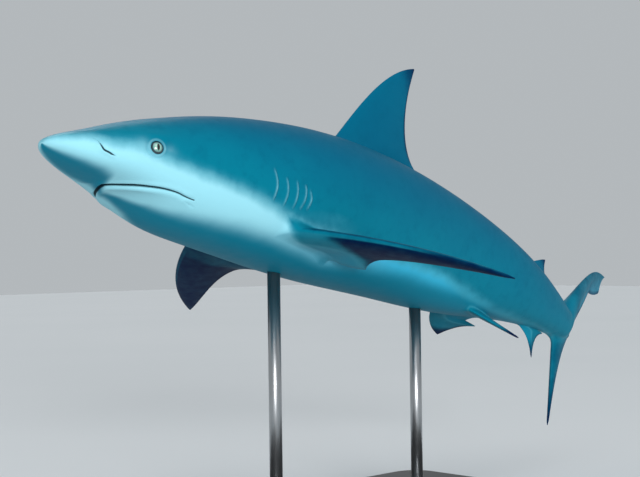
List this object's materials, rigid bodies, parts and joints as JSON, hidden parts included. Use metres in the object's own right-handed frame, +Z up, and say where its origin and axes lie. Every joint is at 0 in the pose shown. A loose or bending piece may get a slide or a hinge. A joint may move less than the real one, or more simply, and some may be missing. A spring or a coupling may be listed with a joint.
{
  "type": "life-size shark model",
  "caption": "Life-size still model of a reef shark swimming with its tail swung aside, held over a flat display base by rods.",
  "frame": {"origin": "centre of the underside of the stand's base", "axes": "+X towards the tail along the shark's length, nose towards -X; the shark's left side faces -Y; +Z up"},
  "size_m": [1.8678, 0.8344, 0.8902],
  "materials": {
    "skin": "satin, blue-grey above and pale below",
    "eye": "wet gloss",
    "stand_base": "matt black paint on board",
    "stand_steel": "brushed"
  },
  "bodies": {
    "root": {"head": "skin", "lower_jaw": "skin", "trunk_front": "skin", "trunk_rear": "skin", "tail_stock": "skin", "caudal_upper_lobe": "skin", "caudal_lower_lobe": "skin", "first_dorsal_fin": "skin", "second_dorsal_fin": "skin", "anal_fin": "skin", "pectoral_fin_left": "skin", "pectoral_fin_right": "skin", "pelvic_fin_left": "skin", "pelvic_fin_right": "skin", "eye_left": "eye", "eye_right": "eye", "stand_base": "stand_base", "stand_rod_front": "stand_steel", "stand_rod_rear": "stand_steel", "stand_collar_front": "stand_steel", "stand_collar_rear": "stand_steel"}
  },
  "joints": []
}
